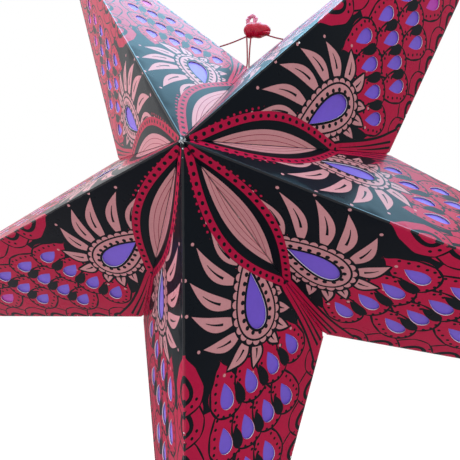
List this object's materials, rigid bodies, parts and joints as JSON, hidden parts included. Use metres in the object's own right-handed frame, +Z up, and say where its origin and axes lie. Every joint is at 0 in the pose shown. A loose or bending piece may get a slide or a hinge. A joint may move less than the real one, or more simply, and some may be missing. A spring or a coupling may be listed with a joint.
{
  "type": "folding paper star lantern",
  "caption": "Five-armed folding paper star lantern of punched printed card over tinted paper, tied open with a red string.",
  "frame": {"origin": "centre of the small loop that the star hangs by, on top of the tie knot", "axes": "+Z up as it hangs, -Y out of the front face, +X to the right seen from the front; one arm points straight down"},
  "size_m": [0.5614, 0.1856, 0.5339],
  "materials": {
    "printed_card": "semi-gloss laminated print",
    "violet_paper": "matt, translucent",
    "red_string": "glossy twisted string"
  },
  "bodies": {
    "bottom_arm_back_ccw": {"bottom_arm_back_ccw_panel": "printed_card", "bottom_arm_back_ccw_liner": "violet_paper"},
    "bottom_arm_back_cw": {"bottom_arm_back_cw_panel": "printed_card", "bottom_arm_back_cw_liner": "violet_paper"},
    "bottom_arm_front_ccw": {"bottom_arm_front_ccw_panel": "printed_card", "bottom_arm_front_ccw_liner": "violet_paper"},
    "bottom_arm_front_cw": {"bottom_arm_front_cw_panel": "printed_card", "bottom_arm_front_cw_liner": "violet_paper"},
    "upper_right_arm_back_ccw": {"upper_right_arm_back_ccw_panel": "printed_card", "drop_string": "red_string", "hanging_loop": "red_string", "tie_knot": "red_string", "tie_string_right": "red_string", "upper_right_arm_back_ccw_liner": "violet_paper"},
    "left_arm_back_ccw": {"left_arm_back_ccw_panel": "printed_card", "left_arm_back_ccw_liner": "violet_paper"},
    "left_arm_back_cw": {"left_arm_back_cw_panel": "printed_card", "left_arm_back_cw_liner": "violet_paper"},
    "left_arm_front_ccw": {"left_arm_front_ccw_panel": "printed_card", "left_arm_front_ccw_liner": "violet_paper"},
    "left_arm_front_cw": {"left_arm_front_cw_panel": "printed_card", "left_arm_front_cw_liner": "violet_paper"},
    "right_arm_back_ccw": {"right_arm_back_ccw_panel": "printed_card", "right_arm_back_ccw_liner": "violet_paper"},
    "right_arm_back_cw": {"right_arm_back_cw_panel": "printed_card", "right_arm_back_cw_liner": "violet_paper"},
    "right_arm_front_ccw": {"right_arm_front_ccw_panel": "printed_card", "right_arm_front_ccw_liner": "violet_paper"},
    "right_arm_front_cw": {"right_arm_front_cw_panel": "printed_card", "right_arm_front_cw_liner": "violet_paper"},
    "upper_left_arm_back_cw": {"upper_left_arm_back_cw_panel": "printed_card", "tie_string_left": "red_string", "upper_left_arm_back_cw_liner": "violet_paper"},
    "upper_left_arm_back_ccw": {"upper_left_arm_back_ccw_panel": "printed_card", "upper_left_arm_back_ccw_liner": "violet_paper"},
    "upper_left_arm_front_ccw": {"upper_left_arm_front_ccw_panel": "printed_card", "upper_left_arm_front_ccw_liner": "violet_paper"},
    "upper_left_arm_front_cw": {"upper_left_arm_front_cw_panel": "printed_card", "upper_left_arm_front_cw_liner": "violet_paper"},
    "upper_right_arm_back_cw": {"upper_right_arm_back_cw_panel": "printed_card", "upper_right_arm_back_cw_liner": "violet_paper"},
    "upper_right_arm_front_ccw": {"upper_right_arm_front_ccw_panel": "printed_card", "upper_right_arm_front_ccw_liner": "violet_paper"},
    "upper_right_arm_front_cw": {"upper_right_arm_front_cw_panel": "printed_card", "upper_right_arm_front_cw_liner": "violet_paper"}
  },
  "joints": [
    {"name": "star_fold", "type": "hinge", "parent": "upper_right_arm_back_ccw", "child": "upper_right_arm_front_ccw", "pos_m": [0.17634, 0, 0.11371], "axis": [-0.7581, 0, -0.6522], "range_deg": [0, 67.41]},
    {"name": "bottom_ccw_edge_fold", "type": "hinge", "parent": "bottom_arm_front_ccw", "child": "bottom_arm_back_ccw", "pos_m": [0, 0, -0.429], "axis": [-0.2299, 0, -0.9732], "range_deg": [0, 67.42]},
    {"name": "bottom_cw_edge_fold", "type": "hinge", "parent": "bottom_arm_front_cw", "child": "bottom_arm_back_cw", "pos_m": [0, 0, -0.429], "axis": [-0.2299, 0, 0.9732], "range_deg": [0, 67.42]},
    {"name": "bottom_ridge_fold", "type": "hinge", "parent": "bottom_arm_front_ccw", "child": "bottom_arm_front_cw", "pos_m": [0, -0.09323, -0.12876], "axis": [0, 0.299, -0.9543], "range_deg": [0, 69.61]},
    {"name": "bottom_valley_fold", "type": "hinge", "parent": "right_arm_front_cw", "child": "bottom_arm_front_ccw", "pos_m": [0, -0.094, -0.129], "axis": [-0.4088, -0.7185, 0.5627], "range_deg": [0, 105.28]},
    {"name": "left_ccw_edge_fold", "type": "hinge", "parent": "left_arm_front_ccw", "child": "left_arm_back_ccw", "pos_m": [-0.28532, 0, -0.2217], "axis": [-0.9966, 0, -0.082], "range_deg": [0, 67.42]},
    {"name": "left_cw_edge_fold", "type": "hinge", "parent": "left_arm_front_cw", "child": "left_arm_back_cw", "pos_m": [-0.28532, 0, -0.2217], "axis": [0.8545, 0, 0.5194], "range_deg": [0, 67.42]},
    {"name": "left_ridge_fold", "type": "hinge", "parent": "left_arm_front_ccw", "child": "left_arm_front_cw", "pos_m": [0.00023, -0.09323, -0.12893], "axis": [-0.9075, 0.299, -0.2949], "range_deg": [0, 69.61]},
    {"name": "left_valley_fold", "type": "hinge", "parent": "bottom_arm_front_cw", "child": "left_arm_front_ccw", "pos_m": [0, -0.094, -0.129], "axis": [0.4088, -0.7185, 0.5627], "range_deg": [0, 105.28]},
    {"name": "right_ccw_edge_fold", "type": "hinge", "parent": "right_arm_front_ccw", "child": "right_arm_back_ccw", "pos_m": [0.28532, 0, -0.22171], "axis": [0.8545, 0, -0.5194], "range_deg": [0, 67.42]},
    {"name": "right_cw_edge_fold", "type": "hinge", "parent": "right_arm_front_cw", "child": "right_arm_back_cw", "pos_m": [0.28532, 0, -0.22171], "axis": [-0.9966, 0, 0.082], "range_deg": [0, 67.42]},
    {"name": "right_ridge_fold", "type": "hinge", "parent": "right_arm_front_ccw", "child": "right_arm_front_cw", "pos_m": [-0.00023, -0.09323, -0.12893], "axis": [0.9075, 0.299, -0.2949], "range_deg": [0, 69.61]},
    {"name": "right_valley_fold", "type": "hinge", "parent": "upper_right_arm_front_cw", "child": "right_arm_front_ccw", "pos_m": [0, -0.094, -0.129], "axis": [-0.6615, -0.7185, -0.2149], "range_deg": [0, 105.28]},
    {"name": "upper_left_ccw_edge_fold", "type": "hinge", "parent": "upper_left_arm_front_ccw", "child": "upper_left_arm_back_ccw", "pos_m": [-0.17634, 0, 0.11371], "axis": [-0.386, 0, 0.9225], "range_deg": [0, 67.42]},
    {"name": "upper_left_cw_edge_fold", "type": "hinge", "parent": "upper_left_arm_front_cw", "child": "upper_left_arm_back_cw", "pos_m": [-0.17634, 0, 0.11371], "axis": [0.7581, 0, -0.6522], "range_deg": [0, 67.42]},
    {"name": "upper_left_ridge_fold", "type": "hinge", "parent": "upper_left_arm_front_ccw", "child": "upper_left_arm_front_cw", "pos_m": [0.00014, -0.09323, -0.1292], "axis": [-0.5609, 0.299, 0.772], "range_deg": [0, 69.61]},
    {"name": "upper_left_valley_fold", "type": "hinge", "parent": "left_arm_front_cw", "child": "upper_left_arm_front_ccw", "pos_m": [0, -0.094, -0.129], "axis": [0.6615, -0.7185, -0.2149], "range_deg": [0, 105.28]},
    {"name": "upper_right_cw_edge_fold", "type": "hinge", "parent": "upper_right_arm_front_cw", "child": "upper_right_arm_back_cw", "pos_m": [0.17634, 0, 0.11371], "axis": [-0.386, 0, -0.9225], "range_deg": [0, 67.42]},
    {"name": "upper_right_ridge_fold", "type": "hinge", "parent": "upper_right_arm_front_ccw", "child": "upper_right_arm_front_cw", "pos_m": [-0.00014, -0.09323, -0.1292], "axis": [0.5609, 0.299, 0.772], "range_deg": [0, 69.61]}
  ],
  "couplings": [
    {"joint": "bottom_ccw_edge_fold", "follows": "star_fold", "ratio": 1},
    {"joint": "bottom_cw_edge_fold", "follows": "star_fold", "ratio": 1},
    {"joint": "bottom_ridge_fold", "follows": "star_fold", "ratio": 1.0325},
    {"joint": "bottom_valley_fold", "follows": "star_fold", "ratio": 1.5616},
    {"joint": "left_ccw_edge_fold", "follows": "star_fold", "ratio": 1},
    {"joint": "left_cw_edge_fold", "follows": "star_fold", "ratio": 1},
    {"joint": "left_ridge_fold", "follows": "star_fold", "ratio": 1.0325},
    {"joint": "left_valley_fold", "follows": "star_fold", "ratio": 1.5616},
    {"joint": "right_ccw_edge_fold", "follows": "star_fold", "ratio": 1},
    {"joint": "right_cw_edge_fold", "follows": "star_fold", "ratio": 1},
    {"joint": "right_ridge_fold", "follows": "star_fold", "ratio": 1.0325},
    {"joint": "right_valley_fold", "follows": "star_fold", "ratio": 1.5616},
    {"joint": "upper_left_ccw_edge_fold", "follows": "star_fold", "ratio": 1},
    {"joint": "upper_left_cw_edge_fold", "follows": "star_fold", "ratio": 1},
    {"joint": "upper_left_ridge_fold", "follows": "star_fold", "ratio": 1.0325},
    {"joint": "upper_left_valley_fold", "follows": "star_fold", "ratio": 1.5616},
    {"joint": "upper_right_cw_edge_fold", "follows": "star_fold", "ratio": 1},
    {"joint": "upper_right_ridge_fold", "follows": "star_fold", "ratio": 1.0325}
  ]
}
